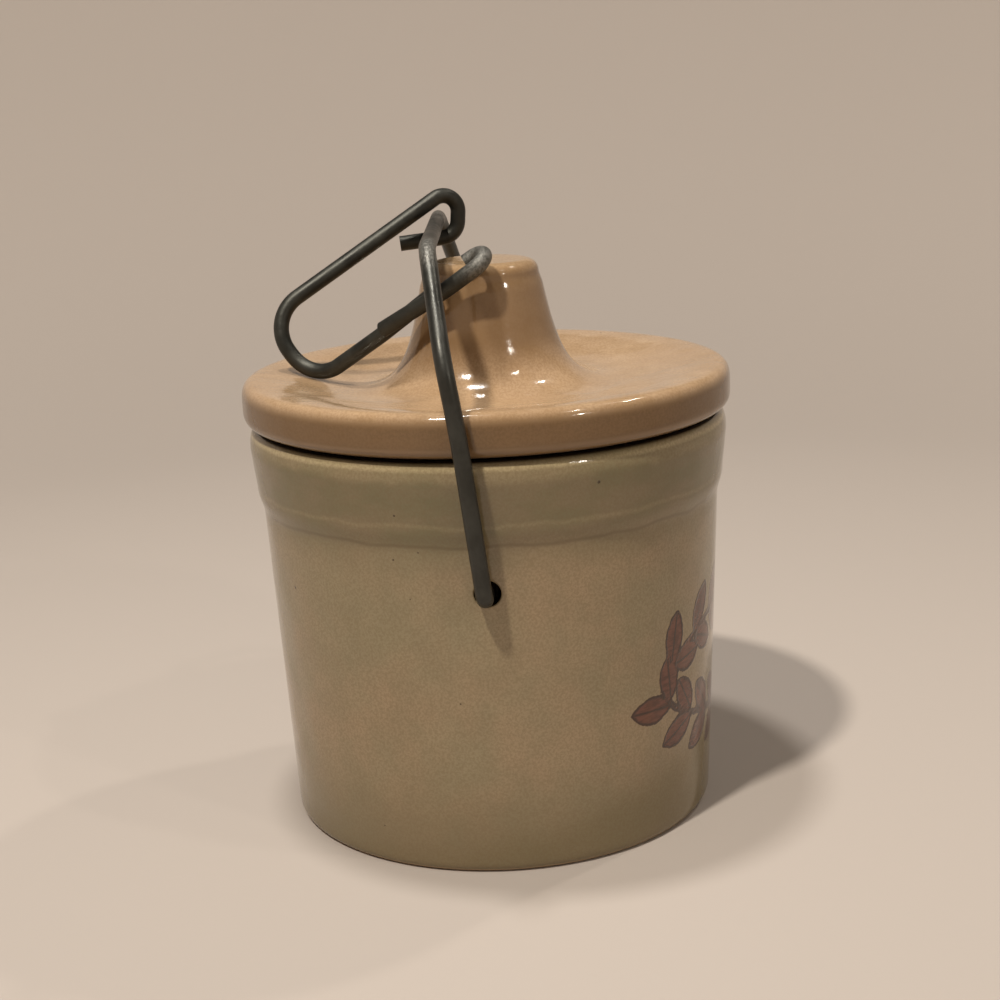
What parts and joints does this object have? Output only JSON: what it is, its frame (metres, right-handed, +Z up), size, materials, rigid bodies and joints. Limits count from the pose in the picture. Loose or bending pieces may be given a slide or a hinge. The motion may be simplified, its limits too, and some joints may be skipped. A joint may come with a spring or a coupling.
{
  "type": "stoneware cheese crock",
  "caption": "Round glazed stoneware crock with a collar, an overhanging lid with a bell-shaped knob, a wire bail in two wall sockets and a hooked wire clamp.",
  "frame": {"origin": "centre of the flat base, on the surface that the crock stands on", "axes": "+Z up; the bail's pins lie along X; -Y is the decorated front; the resting bail and clamp lean to +Y; the picture was taken from -X"},
  "size_m": [0.131, 0.12, 0.1526],
  "materials": {
    "crock_glaze": "glossy greenish tan salt-toned glaze",
    "lid_glaze": "glossy warm tan glaze",
    "bail_wire": "dark, dull and a little worn",
    "clamp_wire": "dark and dull, grey where it rubs"
  },
  "bodies": {
    "pot": {"crock": "crock_glaze", "lid": "lid_glaze"},
    "bail": {"bail": "bail_wire"},
    "clamp": {"clamp": "clamp_wire"}
  },
  "joints": [
    {"name": "bail_swing", "type": "hinge", "parent": "pot", "child": "bail", "pos_m": [0, 0.00045, 0.0685], "axis": [-1, 0, 0], "range_deg": [0, 55]},
    {"name": "clamp_swing", "type": "hinge", "parent": "bail", "child": "clamp", "pos_m": [0.0258, 0.0114, 0.1442], "axis": [1, 0, 0], "range_deg": [0, 203.5]}
  ],
  "couplings": [
    {"joint": "clamp_swing", "follows": "bail_swing", "ratio": 3.7}
  ]
}
